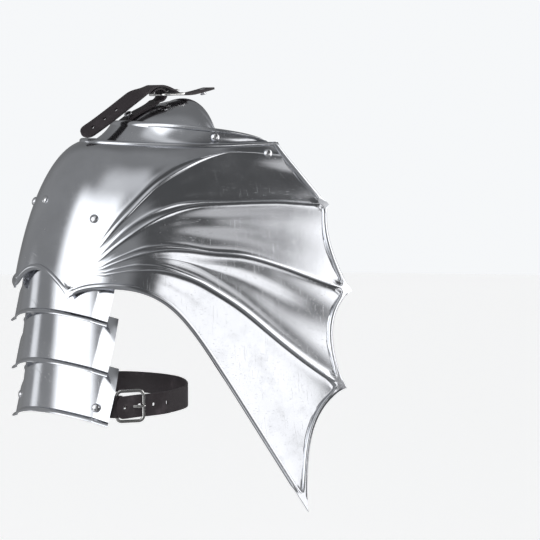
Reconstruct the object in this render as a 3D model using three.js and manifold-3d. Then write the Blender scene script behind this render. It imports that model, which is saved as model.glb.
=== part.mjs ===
// The left pauldron of a Gothic armour: a shoulder plate with a scalloped, fluted wing over the
// shoulder blade, two lames bridging to the neck, three lames down the upper arm, its leathers,
// its suspension strap and its arm strap.
//
// Millimetres. The wearer faces +Y, the neck is towards +X, the arm hangs at X = Y = 0, +Z is up.
// The origin is the point of the shoulder that the armour sits on.

import * as THREE from 'three';
import { NURBSSurface } from 'three/addons/curves/NURBSSurface.js';
import { mergeVertices } from 'three/addons/utils/BufferGeometryUtils.js';
import Module from 'manifold-3d';

const wasm = await Module();
wasm.setup();

// ---- Driving dimensions ----
const PLATE = 1.4;            // steel wall
const LEATHER = 2.2;          // strap and lame leather
const GAP = 0.35;             // clearance between neighbouring pieces
const STRAP_WIDTH = 22;       // suspension and arm straps

const BEAD = 5;               // width of a rolled edge
const BEAD_RISE = 2;
const RIB_HALF_WIDTH = 5.5;   // of a rib where it springs
const RIB_RISE = 3;
const HOLLOW = 2.5;           // dip of the wing between two ribs

const ARM_RADIUS_TOP = 83.5;   // outer radius of an arm lame at its hidden top edge
const ARM_RADIUS_BOTTOM = 92; // and at its turned-out bottom edge
const LIP_FLARE = 2.5;        // of that bottom edge
const FLANGE_FLARE = 6;       // of an arm lame's two upright ends
const LAME_STEP = 49;         // one arm lame to the next

const RIVET_HEAD = 4.5;
const RIVET_SHANK = 2;
const RIVET_CLEARANCE = 0.35;

const LEATHER_RADIUS = 80.5;  // outer face of the leathers inside the arm lames

// ---- Materials ----
const STEEL = { color: 0xb4b8bd, roughness: 0.16, metalness: 1 };
const BUCKLE_STEEL = { color: 0xcfd1d3, roughness: 0.22, metalness: 1 };
const LEATHER_FINISH = { color: 0x2c262b, roughness: 0.6, metalness: 0 };

const part = new THREE.Group();

// ---- Small helpers ----
const radians = THREE.MathUtils.degToRad;
const mix = THREE.MathUtils.lerp;
const ease = (x) => THREE.MathUtils.smoothstep(x, 0, 1);

function steps(count, from = 0, to = 1) {
  return Array.from({ length: count + 1 }, (_, i) => mix(from, to, i / count));
}

// A smooth value through [place, value] knots, flat past both ends.
function through(knots, at) {
  if (at <= knots[0][0]) return knots[0][1];
  const last = knots.length - 1;
  if (at >= knots[last][0]) return knots[last][1];
  const k = knots.findIndex(([place]) => place > at) - 1;
  const slope = (i) => {
    const before = knots[Math.max(i - 1, 0)];
    const after = knots[Math.min(i + 1, last)];
    return (after[1] - before[1]) / (after[0] - before[0]);
  };
  const [x0, y0] = knots[k];
  const [x1, y1] = knots[k + 1];
  const span = x1 - x0;
  const t = (at - x0) / span;
  const rise = (1 + 2 * t) * (1 - t) ** 2 * y0 + t * t * (3 - 2 * t) * y1;
  return rise + span * (t * (1 - t) ** 2 * slope(k) - t * t * (1 - t) * slope(k + 1));
}

function geometryOf(positions, indices) {
  const geometry = new THREE.BufferGeometry();
  geometry.setAttribute('position', new THREE.Float32BufferAttribute(positions, 3));
  geometry.setIndex(indices);
  return geometry;
}

// A wall of even thickness from a grid of points on its outer face. Rows run left to right and
// columns downwards as seen from outside.
function wall(grid, thickness) {
  const rows = grid.length;
  const columns = grid[0].length;
  const outer = grid.flat();
  const index = (r, c) => r * columns + c;
  const normals = outer.map(() => new THREE.Vector3());
  const triangles = [];
  for (let r = 0; r < rows - 1; r += 1) {
    for (let c = 0; c < columns - 1; c += 1) {
      triangles.push([index(r, c), index(r + 1, c), index(r + 1, c + 1)]);
      triangles.push([index(r, c), index(r + 1, c + 1), index(r, c + 1)]);
    }
  }
  for (const [a, b, c] of triangles) {
    const ab = outer[b].clone().sub(outer[a]);
    const ac = outer[c].clone().sub(outer[a]);
    const face = ab.cross(ac).normalize();
    [a, b, c].forEach((corner) => normals[corner].add(face));
  }
  normals.forEach((normal) => normal.normalize());
  const inner = outer.map((point, i) => point.clone().addScaledVector(normals[i], -thickness));
  const count = outer.length;
  const indices = triangles.flatMap(([a, b, c]) => [a, b, c, a + count, c + count, b + count]);
  const rim = [
    ...steps(rows - 1, 0, rows - 1).map((r) => index(r, 0)),
    ...steps(columns - 1, 0, columns - 1).map((c) => index(rows - 1, c)),
    ...steps(rows - 1, rows - 1, 0).map((r) => index(r, columns - 1)),
    ...steps(columns - 1, columns - 1, 0).map((c) => index(0, c)),
  ].map(Math.round).filter((vertex, i, ring) => vertex !== ring[i - 1]);
  rim.pop();
  rim.forEach((a, i) => {
    const b = rim[(i + 1) % rim.length];
    indices.push(b, a, a + count, b, a + count, b + count);
  });
  const positions = [...outer, ...inner].flatMap((point) => [point.x, point.y, point.z]);
  return geometryOf(positions, indices);
}

function solidOf(geometry) {
  const bare = geometry.clone();
  bare.deleteAttribute('normal');
  bare.deleteAttribute('uv');
  const merged = mergeVertices(bare, 1e-4);
  return new wasm.Manifold(new wasm.Mesh({
    numProp: 3,
    vertProperties: new Float32Array(merged.attributes.position.array),
    triVerts: new Uint32Array(merged.index.array),
  }));
}

function geometryFrom(solid) {
  const mesh = solid.getMesh();
  return geometryOf(mesh.vertProperties, Array.from(mesh.triVerts));
}

// Pieces are kept by name until their rivet holes are cut.
const pieces = new Map();

function addPiece(name, geometry, finish) {
  pieces.set(name, { geometry, finish });
}

function cut(name, tool) {
  const piece = pieces.get(name);
  piece.geometry = geometryFrom(solidOf(piece.geometry).subtract(solidOf(tool)));
}

// ---- Main plate ----
// Stations from the front edge round the shoulder to the wing's scalloped edge. Each gives the
// top edge, two handles and the bottom edge of a cubic section.
const MAIN_STATIONS = [
  [[118, 84, 10], [122, 106, -18], [96, 112, -70], [62, 112, -112]],
  [[84, 82, 12], [74, 112, 6], [44, 116, -70], [30, 110, -132]],
  [[30, 62, 14], [10, 100, 10], [-18, 104, -70], [-22, 106, -134]],
  [[-12, 30, 16], [-43, 58, 9], [-69, 62, -70], [-77, 66, -132]],
  [[-24, 0, 16], [-63, 8, 8], [-89, 10, -70], [-102, 10, -130]],
  [[-14, -30, 14], [-56, -46, 7], [-78, -50, -70], [-86, -56, -130]],
  [[20, -54, 12], [-14, -94, 6], [-34, -96, -70], [-42, -98, -130]],
  [[52, -70, 12], [42, -112, 2], [16, -110, -90], [8, -106, -142]],
  [[82, -80, 13], [96, -116, -18], [78, -112, -140], [52, -112, -196]],
  [[112, -89, 14], [154, -120, -44], [148, -128, -190], [96, -138, -282]],
  [[141, -97, 14], [236, -127, -60], [229, -142, -212], [126, -172, -350]],
];

// Where each rib runs, as [share of the way round, share of the way down].
const RIBS = [
  [[0.57, 0.77], [0.61, 0.61], [0.68, 0.36], [0.76, 0.2], [0.86, 0.085], [0.93, 0.06], [1, 0.06]],
  [[0.57, 0.85], [0.65, 0.645], [0.73, 0.5], [0.84, 0.37], [0.94, 0.27], [1, 0.235]],
  [[0.58, 0.89], [0.68, 0.76], [0.8, 0.635], [0.88, 0.535], [0.94, 0.492], [1, 0.485]],
  [[0.59, 0.92], [0.7, 0.84], [0.76, 0.8], [0.82, 0.755], [0.9, 0.713], [1, 0.725]],
];
const RIB_SPRING = 0.56;
const RIB_FULL = 0.6;
const UPPER_RIB_END = [0.86, 0.93];
const SCALLOP_DEPTHS = [0, 10, 17, 25, 27]; // of the wing's edge, panel by panel from the top
const FRONT_CUSP = 0.345;
const REAR_CUSP = 0.515;

function mainSurface() {
  const degree = 3;
  const clamped = (count) => [
    ...Array(degree).fill(0),
    ...steps(count - degree),
    ...Array(degree).fill(1),
  ];
  const net = MAIN_STATIONS.map((station) => station.map(([x, y, z]) => new THREE.Vector4(x, y, z, 1)));
  return new NURBSSurface(degree, degree, clamped(net.length), clamped(degree + 1), net);
}

// How far down the bottom edge lies: an arch over the arm between two cusps, and a lower arch
// where the wing leaves the arm.
function bottomEdge(around) {
  if (around < FRONT_CUSP) {
    return 1 - 0.05 * Math.sin(Math.PI * around / FRONT_CUSP);
  }
  if (around < REAR_CUSP) {
    const share = (around - FRONT_CUSP) / (REAR_CUSP - FRONT_CUSP);
    return mix(1, 1.03, share) - 0.125 * Math.sin(Math.PI * share) ** 0.8;
  }
  const past = around - REAR_CUSP;
  return 1.03 - 0.065 * (1 - Math.exp(-past / 0.03)) + 0.035 * ease((past - 0.12) / 0.25);
}

function mainPlate() {
  const surface = mainSurface();
  const at = (around, down) => {
    const point = new THREE.Vector3();
    surface.getPoint(around, down, point);
    return point;
  };
  const small = 1e-3;
  const acrossScale = (around, down) => {
    const before = Math.max(around - small, 0);
    return at(before, down).distanceTo(at(before + small, down)) / small;
  };
  const downScale = (around, down) => {
    const before = Math.max(down - small, 0);
    return at(around, before).distanceTo(at(around, before + small)) / small;
  };

  // Rows at one station: its edges, its ribs with both their flanks, and plain rows between.
  function rowsAt(around) {
    const bottom = bottomEdge(around);
    const topBead = BEAD / 2 / downScale(around, 0);
    const bottomBead = BEAD / 2 / downScale(around, 1);
    const centres = RIBS.map((rib) => through(rib, around) * bottom);
    const bounds = [2 * topBead, ...centres, bottom - 2 * bottomBead];
    const rows = [
      { down: 0, rise: 0 },
      { down: topBead, rise: BEAD_RISE },
      { down: 2 * topBead, rise: 0 },
    ];
    const ribStrength = ease((around - RIB_SPRING) / (RIB_FULL - RIB_SPRING));
    let flank = 2 * topBead;
    centres.forEach((centre, i) => {
      const free = Math.min(centre - bounds[i], bounds[i + 2] - centre);
      const half = Math.min(RIB_HALF_WIDTH / downScale(around, centre), 0.42 * free);
      let strength = ribStrength;
      if (i === 0) strength *= 1 - ease((around - UPPER_RIB_END[0]) / (UPPER_RIB_END[1] - UPPER_RIB_END[0]));
      const between = i === 0 ? 5 : 3;
      const dip = i === 0 ? 0 : HOLLOW * ease((around - RIB_FULL) / 0.2);
      plainRows(flank, centre - half, between, dip);
      rows.push({ down: centre - half, rise: 0 });
      rows.push({ down: centre, rise: RIB_RISE * strength });
      rows.push({ down: centre + half, rise: 0 });
      flank = centre + half;
    });
    plainRows(flank, bottom - 2 * bottomBead, 3, 0.6 * HOLLOW * ease((around - RIB_FULL) / 0.2));
    rows.push({ down: bottom - 2 * bottomBead, rise: 0 });
    rows.push({ down: bottom - bottomBead, rise: BEAD_RISE });
    rows.push({ down: bottom, rise: 0 });

    function plainRows(from, to, count, dip) {
      for (let k = 1; k < count; k += 1) {
        const share = k / count;
        rows.push({ down: mix(from, to, share), rise: -dip * Math.sin(Math.PI * share) ** 2 });
      }
    }
    return rows;
  }

  // The wing's edge draws in between neighbouring ribs.
  const rimRows = rowsAt(1);
  const corners = [0, ...RIBS.slice(1).map((rib) => through(rib, 1)), 1];
  const rimInset = rimRows.map(({ down }) => {
    const panel = Math.min(corners.filter((corner) => corner < down - 1e-6).length, corners.length - 1) || 1;
    const from = corners[panel - 1];
    const share = THREE.MathUtils.clamp((down - from) / (corners[panel] - from), 0, 1);
    const depth = SCALLOP_DEPTHS[panel] * Math.sin(Math.PI * share) ** 0.75;
    return depth / acrossScale(1, down);
  });

  const columns = [
    ...steps(22, 0, RIB_SPRING),
    ...steps(14, RIB_SPRING, 0.94).slice(1),
  ];
  const edgeSteps = 4;
  const grid = rimRows.map((rimRow, r) => {
    const points = columns.map((around) => {
      const { down, rise } = rowsAt(around)[r];
      return raised(around, down, rise);
    });
    const rim = 1 - rimInset[r];
    const bead = BEAD / acrossScale(1, rimRow.down);
    const last = columns[columns.length - 1];
    const edge = [...steps(edgeSteps, last, rim - bead).slice(1), rim - bead / 2, rim];
    edge.forEach((around, k) => {
      const { down, rise } = rowsAt(around)[r];
      points.push(raised(around, down, k === edgeSteps ? Math.max(rise, BEAD_RISE) : rise));
    });
    return points;
  });

  function raised(around, down, rise) {
    const here = at(around, down);
    const backward = Math.max(around - small, 0);
    const upward = Math.max(down - small, 0);
    const across = at(backward + small, down).sub(at(backward, down));
    const along = at(around, upward + small).sub(at(around, upward));
    return here.addScaledVector(along.cross(across).normalize(), rise);
  }
  return { geometry: wall(grid, PLATE), at, raised };
}

const main = mainPlate();

// ---- Lames towards the neck ----
// The free edge of a lame arches over the shoulder: its crown, its two ends, and how full it is.
const UPPER_LAME_2_EDGE = { crown: [14, 0, 36], rear: [134, -91, 14], front: [112, 78, 9], fullness: 0.7 };
const UPPER_LAME_1_EDGE = { crown: [92, 0, 58], rear: [84, -68, 23], front: [82, 62, 20], fullness: 1.6 };
const LAME_STANDOFF = PLATE + 2.3; // outer face to outer face where one plate lies under the next

// Turn runs from -1 at the front end through 0 at the crown to 1 at the rear end.
function edgePoint({ crown, rear, front, fullness }, turn) {
  const end = turn > 0 ? rear : front;
  const angle = Math.PI / 2 * Math.abs(turn);
  const lift = Math.cos(angle);
  return new THREE.Vector3(
    mix(end[0], crown[0], lift),
    mix(crown[1], end[1], Math.sin(angle)),
    mix(end[2], crown[2], lift ** fullness),
  );
}

// A lame that springs from under its neighbour: under and lip give points on the neighbour's
// underside, a lap back from its edge and at its edge.
function tuckedPoint({ under, lip, edge }, turn, across) {
  const start = under(turn);
  const free = edgePoint(edge, turn);
  const heading = lip(turn).sub(start).normalize();
  const handle = start.clone().addScaledVector(heading, 0.5 * start.distanceTo(free));
  return start.multiplyScalar((1 - across) ** 2)
    .addScaledVector(handle, 2 * across * (1 - across))
    .addScaledVector(free, across ** 2);
}

const CROWN_AROUND = 0.395;   // where the shoulder's crown lies along the main plate

const upperLame2 = {
  under: (turn) => main.raised(mainAround(turn), 0.075, -LAME_STANDOFF),
  lip: (turn) => main.raised(mainAround(turn), 0, -LAME_STANDOFF),
  edge: UPPER_LAME_2_EDGE,
};

const upperLame1 = {
  under: (turn) => lameOffset(upperLame2, 0.92 * turn, 0.7, -LAME_STANDOFF),
  lip: (turn) => lameOffset(upperLame2, 0.92 * turn, 1, -LAME_STANDOFF),
  edge: UPPER_LAME_1_EDGE,
};

function mainAround(turn) {
  return mix(CROWN_AROUND, turn > 0 ? 0.955 : 0.035, Math.abs(turn));
}

function lameOffset(lame, turn, across, rise) {
  const small = 1e-3;
  const here = tuckedPoint(lame, turn, across);
  const along = tuckedPoint(lame, turn + small, across).sub(tuckedPoint(lame, turn - small, across));
  const inward = tuckedPoint(lame, turn, across + small).sub(tuckedPoint(lame, turn, across - small));
  return here.addScaledVector(along.cross(inward).normalize(), rise);
}

function upperLame(lame) {
  const turns = steps(20, -1, 1);
  return wall(steps(7, 1, 0).map((across) => turns.map((turn) => tuckedPoint(lame, turn, across))), PLATE);
}

// ---- Lames down the arm ----
const LAME_BOTTOM = -151;     // first arm lame's bottom edge, at the crown of its arch
const LAME_ARCH = 25;         // how far its ends hang below that crown
const LAME_CROWN = 18;        // degrees from the outer side, towards the back
const LAME_TURN = 10;         // degrees that the arm lames are turned towards the back
const LAME_HEIGHT = 58;
const LAME_ENDS = [57, 49];   // degrees from the crown to either end, at the top and the bottom
const FLANGE = 9;             // degrees of the arc that each upright end takes
const LIP_START = 0.93;       // where the bottom edge begins to turn out

const onCircle = (radius, degrees, z) => new THREE.Vector3(
  -radius * Math.cos(radians(degrees)),
  -radius * Math.sin(radians(degrees)),
  z,
);

// A point on an arm lame's outer face. Turn runs from -1 at the front end to 1 at the rear end,
// share from 0 at the top edge to 1 at the bottom edge.
function armLamePoint(number, turn, share) {
  const end = mix(LAME_ENDS[0], LAME_ENDS[1], share);
  const degrees = LAME_TURN + turn * end;
  const flange = Math.max(Math.abs(turn) * end - (end - FLANGE), 0) / FLANGE;
  const lip = Math.max(share - LIP_START, 0) / (1 - LIP_START);
  const radius = mix(ARM_RADIUS_TOP, ARM_RADIUS_BOTTOM, share) + LIP_FLARE * lip
    + FLANGE_FLARE * flange * ease(share / 0.5);
  const fall = LAME_ARCH * Math.sin(radians(degrees - LAME_CROWN)) ** 2;
  const bottom = LAME_BOTTOM - (number - 1) * LAME_STEP - fall;
  return onCircle(radius, degrees, bottom + (1 - share) * LAME_HEIGHT);
}

function lowerLame(number) {
  const shares = [0, 0.2, 0.4, 0.6, 0.8, LIP_START, 1];
  const half = [0.1, 0.3, 0.5, 0.7, 0.84, 0.92, 1];
  const turns = [...half.map((turn) => -turn).reverse(), ...half];
  return wall(shares.map((share) => turns.map((turn) => armLamePoint(number, turn, share))), PLATE);
}

// ---- Rivets ----
// Each has a domed head outside, a shank through its stack and a flat tail inside.
const RIVET_SIDES = 8;
const RIVET_TAIL = 3.2;
const RIVET_REACH = 18;       // deepest stack that a rivet closes
const rivets = [];

function rivet(name, point, outward, pierced, head = RIVET_HEAD) {
  rivets.push({ name, point, outward: outward.clone().normalize(), pierced, head });
}

function pin(radius, from, to) {
  const length = to - from;
  return new THREE.CylinderGeometry(radius, radius, length, RIVET_SIDES).translate(0, from + length / 2, 0);
}

// Stands a shape that was made along +Y on a rivet's place.
function placed(geometry, { point, outward }) {
  const turn = new THREE.Quaternion().setFromUnitVectors(new THREE.Vector3(0, 1, 0), outward);
  return geometry.applyQuaternion(turn).translate(point.x, point.y, point.z);
}

// How high and how deep the pierced pieces reach under the head and under the tail.
function stackOf(item) {
  const reach = (radius, heights) => item.pierced.flatMap((name) => {
    const probe = solidOf(placed(pin(radius, ...heights), item));
    const met = geometryFrom(solidOf(pieces.get(name).geometry).intersect(probe));
    return Array.from({ length: met.attributes.position.count }, (_, i) => (
      new THREE.Vector3().fromBufferAttribute(met.attributes.position, i).sub(item.point).dot(item.outward)
    ));
  });
  const top = Math.max(...reach(item.head, [-1, 3]));
  const bottom = Math.min(...reach(RIVET_TAIL, [-RIVET_REACH, 1]));
  return { top, bottom };
}

function rivetGeometry(item, { top, bottom }) {
  const rise = 0.62 * item.head;
  const dome = steps(2, 0, Math.PI / 2).map((angle) => new THREE.Vector2(
    item.head * Math.cos(angle),
    top + GAP + rise * Math.sin(angle),
  ));
  dome[dome.length - 1].x = 0;
  const seat = bottom - GAP;
  const profile = [
    new THREE.Vector2(0, seat - 1.1),
    new THREE.Vector2(RIVET_TAIL, seat - 1.1),
    new THREE.Vector2(RIVET_TAIL, seat),
    new THREE.Vector2(RIVET_SHANK, seat),
    new THREE.Vector2(RIVET_SHANK, top + GAP),
    ...dome,
  ];
  return placed(new THREE.LatheGeometry(profile, RIVET_SIDES), item);
}

// ---- Leather ----
// A strap: a centreline in its own plane, given a thickness and then a width.
function strapProfile(path, thickness) {
  const side = (sign) => path.map((point, i) => {
    const before = path[Math.max(i - 1, 0)];
    const after = path[Math.min(i + 1, path.length - 1)];
    const heading = after.clone().sub(before).normalize();
    return new THREE.Vector2(-heading.y, heading.x).multiplyScalar(sign * thickness / 2).add(point);
  });
  return new THREE.Shape([...side(-1), ...side(1).reverse()]);
}

function strap(points, thickness, width, count) {
  const curve = new THREE.SplineCurve(points.map(([x, y]) => new THREE.Vector2(x, y)));
  const profile = strapProfile(curve.getPoints(count), thickness);
  return new THREE.ExtrudeGeometry(profile, { depth: width, bevelEnabled: false });
}

// Straps whose path lies in an upright plane through X, centred on Y = 0.
function uprightStrap(points, thickness, width, count) {
  return strap(points, thickness, width, count).rotateX(Math.PI / 2).translate(0, width / 2, 0);
}

// Straps that go round the arm, centred on a height. Points are [degrees, radius].
function armBand(points, thickness, width, count, height) {
  const path = points.map(([degrees, radius]) => {
    const point = onCircle(radius, degrees, 0);
    return [point.x, point.y];
  });
  return strap(path, thickness, width, count).translate(0, 0, height - width / 2);
}

// ---- Lame leathers ----
const LAME_LEATHERS = {
  front: { around: 0.28, down: 0.55 },
  middle: { around: 0.388, down: 0.529 },
  rear: { around: 0.548, down: 0.616 },
};
const LAME_LEATHER_WIDTH = 15;
const LAME_LEATHER_END = -222;
const LAME_LEATHER_SLACK = 3; // it hangs this far clear of the plate's inside

function lameLeather({ around, down }) {
  const depth = PLATE + LEATHER / 2 + LAME_LEATHER_SLACK;
  const inside = [-0.06, 0, 0.06].map((step) => {
    const point = main.raised(around, down + step, -depth);
    return [-Math.hypot(point.x, point.y), point.z];
  });
  const hang = -(LEATHER_RADIUS - LEATHER / 2);
  const points = [...inside, [hang, -92], [hang, -130], [hang, -180], [hang, LAME_LEATHER_END]];
  const turn = radians(outwardDegrees(main.at(around, down)));
  return uprightStrap(points, LEATHER, LAME_LEATHER_WIDTH, 13).rotateZ(turn);
}

function outwardDegrees({ x, y }) {
  return THREE.MathUtils.radToDeg(Math.atan2(-y, -x));
}

// ---- Buckles ----
// A buckle lies flat with its bar at X = 0 and its far end towards +X, its strap along X.
const FRAME_LENGTH = 30;
const FRAME_WIDTH = 33;
const FRAME_BAR = 3.2;
const FRAME_THICKNESS = 2.6;
const TONGUE_WIDTH = 3.2;

function roundedOutline(outline, left, right, half, radius) {
  outline.moveTo(left + radius, -half);
  outline.lineTo(right - radius, -half);
  outline.absarc(right - radius, -half + radius, radius, -Math.PI / 2, 0);
  outline.absarc(right - radius, half - radius, radius, 0, Math.PI / 2);
  outline.lineTo(left + radius, half);
  outline.absarc(left + radius, half - radius, radius, Math.PI / 2, Math.PI);
  outline.absarc(left + radius, -half + radius, radius, Math.PI, 1.5 * Math.PI);
  outline.closePath();
  return outline;
}

function buckleFrame() {
  const outline = roundedOutline(new THREE.Shape(), -FRAME_BAR, FRAME_LENGTH - FRAME_BAR, FRAME_WIDTH / 2, 6);
  const windowRight = FRAME_LENGTH - 2 * FRAME_BAR;
  outline.holes.push(roundedOutline(new THREE.Path(), 0, windowRight, FRAME_WIDTH / 2 - FRAME_BAR, 3));
  const settings = { depth: FRAME_THICKNESS, bevelEnabled: false, curveSegments: 4 };
  return new THREE.ExtrudeGeometry(outline, settings);
}

// The tongue's path and the strap's path through the frame, as [along, up].
const FAR_END = FRAME_LENGTH - 2 * FRAME_BAR;
const TONGUE_PATH = [
  [4.2, 1.2],
  [9, 2.4],
  [15, 4.6],
  [FAR_END, 5.4],
  [FAR_END + 3.2, 4.6],
];

const tongueGeometry = (clearance = 0) => uprightStrap(
  TONGUE_PATH,
  2 + 2 * clearance,
  TONGUE_WIDTH + 2 * clearance,
  8,
);

const SUSPENSION_BUCKLE = new THREE.Matrix4()
  .makeRotationY(radians(-3))
  .setPosition(59, 0, 60);
const ARM_STRAP_HEIGHT = -242;
const ARM_BUCKLE_DEGREES = 72;
const ARM_BUCKLE_RADIUS = 84;
const ARM_BUCKLE = new THREE.Matrix4()
  .makeBasis(
    new THREE.Vector3(Math.sin(radians(ARM_BUCKLE_DEGREES)), -Math.cos(radians(ARM_BUCKLE_DEGREES)), 0),
    new THREE.Vector3(0, 0, 1),
    onCircle(1, ARM_BUCKLE_DEGREES, 0),
  )
  .setPosition(onCircle(ARM_BUCKLE_RADIUS, ARM_BUCKLE_DEGREES - 6, ARM_STRAP_HEIGHT));

// ---- Suspension strap, over the crown of the shoulder ----
// Centrelines as [X, Z]. The chape lies on the lame and folds round the buckle's bar.
const CHAPE_PATH = [
  [18.2, 36.4], [25.7, 41.1], [33.8, 45.5], [42.5, 49.4], [50, 53.2], [55, 56.6],
  [59, 57.7], [61.7, 61.2], [59, 64.7], [54, 64.8], [48.5, 61],
];
const SUSPENSION_PATH = [
  [122, 66], [108, 62.6], [96, 60.2], [86, 59.7], [79, 60.4], [72, 64], [64, 67.1],
  [57, 68], [50, 66.2], [31, 54], [8, 39.4], [-12, 28], [-28, 20.4],
];
const TIP_LENGTH = 9;
const HOLE_SPACING = 16;
const HOLE_RADIUS = 2;

// The strap seen from above: square at the neck, pointed at its free end.
function strapPlan(freeEnd, neckEnd) {
  const half = STRAP_WIDTH / 2;
  const outline = new THREE.Shape();
  outline.moveTo(neckEnd, -half);
  outline.lineTo(neckEnd, half);
  outline.lineTo(freeEnd + TIP_LENGTH, half);
  outline.quadraticCurveTo(freeEnd + 1, half * 0.8, freeEnd, 0);
  outline.quadraticCurveTo(freeEnd + 1, -half * 0.8, freeEnd + TIP_LENGTH, -half);
  for (let k = 0; k < 3; k += 1) {
    const hole = new THREE.Path();
    hole.absarc(freeEnd + TIP_LENGTH + 6 + k * HOLE_SPACING, 0, HOLE_RADIUS, 0, 2 * Math.PI);
    outline.holes.push(hole);
  }
  const settings = { depth: 120, bevelEnabled: false, curveSegments: 5 };
  return new THREE.ExtrudeGeometry(outline, settings).translate(0, 0, -20);
}

// The free end has taken a twist towards the back, past the buckle.
const TWIST = radians(22);
const TWIST_START = 52;
const TWIST_RUN = 24;
const TWIST_LIFT = 3;

function twistFreeEnd(geometry) {
  const positions = geometry.attributes.position;
  for (let i = 0; i < positions.count; i += 1) {
    const share = ease((TWIST_START - positions.getX(i)) / TWIST_RUN);
    const across = positions.getY(i);
    positions.setY(i, across * Math.cos(TWIST * share));
    positions.setZ(i, positions.getZ(i) + across * Math.sin(TWIST * share) + TWIST_LIFT * share);
  }
  return geometry;
}

function addSuspension() {
  const band = solidOf(uprightStrap(SUSPENSION_PATH, LEATHER, STRAP_WIDTH, 34));
  const free = SUSPENSION_PATH[SUSPENSION_PATH.length - 1][0];
  const shaped = band.intersect(solidOf(strapPlan(free - 0.4, SUSPENSION_PATH[0][0] + 2)));
  addPiece('suspension_strap', twistFreeEnd(geometryFrom(shaped)), LEATHER_FINISH);
  addPiece('suspension_chape', uprightStrap(CHAPE_PATH, LEATHER, STRAP_WIDTH - 1, 26), LEATHER_FINISH);
  addPiece('suspension_buckle', buckleFrame().applyMatrix4(SUSPENSION_BUCKLE), BUCKLE_STEEL);
  addPiece('suspension_tongue', tongueGeometry().applyMatrix4(SUSPENSION_BUCKLE), BUCKLE_STEEL);
  cut('suspension_strap', tongueGeometry(GAP).applyMatrix4(SUSPENSION_BUCKLE));
}

// ---- Arm strap, a whole loop round the arm ----
// Centrelines as [degrees from the outer side, radius].
const ARM_CHAPE_PATH = [
  [42, 82.9], [48, 82.9], [54, 82.6], [60, 82], [65, 82.1], [68.1, 85.2], [66, 89.1],
  [63, 89.3], [60.8, 88],
];
const ARM_STRAP_PATH = [
  [-23, 83.6], [-30, 83.6], [-50, 83.2], [-62, 82], [-90, 79], [-135, 77], [-180, 77],
  [-225, 78.5], [-255, 81.5], [-271, 83], [-279, 83.3], [-284, 85], [-290, 89.4],
  [-293, 91.4], [-296, 92.9],
];

function addArmStrap() {
  const loop = armBand(ARM_STRAP_PATH, LEATHER, STRAP_WIDTH, 58, ARM_STRAP_HEIGHT);
  addPiece('arm_strap', loop, LEATHER_FINISH);
  const chape = armBand(ARM_CHAPE_PATH, LEATHER, STRAP_WIDTH - 1, 26, ARM_STRAP_HEIGHT);
  addPiece('arm_chape', chape, LEATHER_FINISH);
  addPiece('arm_buckle', buckleFrame().applyMatrix4(ARM_BUCKLE), BUCKLE_STEEL);
  addPiece('arm_tongue', tongueGeometry().applyMatrix4(ARM_BUCKLE), BUCKLE_STEEL);
  cut('arm_strap', tongueGeometry(GAP).applyMatrix4(ARM_BUCKLE));
}

// ---- Assembly ----
addPiece('main_plate', main.geometry, STEEL);
addPiece('upper_lame_2', upperLame(upperLame2), STEEL);
addPiece('upper_lame_1', upperLame(upperLame1), STEEL);
for (let number = 1; number <= 3; number += 1) {
  addPiece(`lower_lame_${number}`, lowerLame(number), STEEL);
}
Object.entries(LAME_LEATHERS).forEach(([place, leather]) => {
  addPiece(`lame_leather_${place}`, lameLeather(leather), LEATHER_FINISH);
});
addSuspension();
addArmStrap();

// The pivots of the lames towards the neck, at both ends of their arches.
const PIVOT_ACROSS = 0.72;
const PIVOTS = {
  rear: { around: 0.967, down: 0.056, turn: 0.75 },
  front: { around: 0.04, down: 0.1, turn: -0.69 },
};
Object.entries(PIVOTS).forEach(([place, { around, down, turn }]) => {
  const onMain = main.at(around, down);
  const outOfMain = main.raised(around, down, 1).sub(onMain);
  rivet(`main_pivot_rivet_${place}`, onMain, outOfMain, ['main_plate', 'upper_lame_2']);
  const onLame = tuckedPoint(upperLame2, turn, PIVOT_ACROSS);
  const outOfLame = lameOffset(upperLame2, turn, PIVOT_ACROSS, 1).sub(onLame);
  rivet(`lame_pivot_rivet_${place}`, onLame, outOfLame, ['upper_lame_2', 'upper_lame_1']);
});

// The lame leathers: one rivet through the main plate, one near the top of each arm lame.
const HIDDEN_HEAD = 3.2;
const HIDDEN_SHARE = 0.14;
Object.entries(LAME_LEATHERS).forEach(([place, { around, down }]) => {
  const leather = `lame_leather_${place}`;
  const onMain = main.at(around, down);
  const outOfMain = main.raised(around, down, 1).sub(onMain);
  rivet(`leather_rivet_${place}`, onMain, outOfMain, ['main_plate', leather]);
  const degrees = outwardDegrees(onMain);
  const turn = (degrees - LAME_TURN) / mix(LAME_ENDS[0], LAME_ENDS[1], HIDDEN_SHARE);
  for (let number = 1; number <= 3; number += 1) {
    const point = armLamePoint(number, turn, HIDDEN_SHARE);
    const pierced = [`lower_lame_${number}`, leather];
    rivet(`lame_${number}_rivet_${place}`, point, onCircle(1, degrees, 0), pierced, HIDDEN_HEAD);
  }
});

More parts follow.
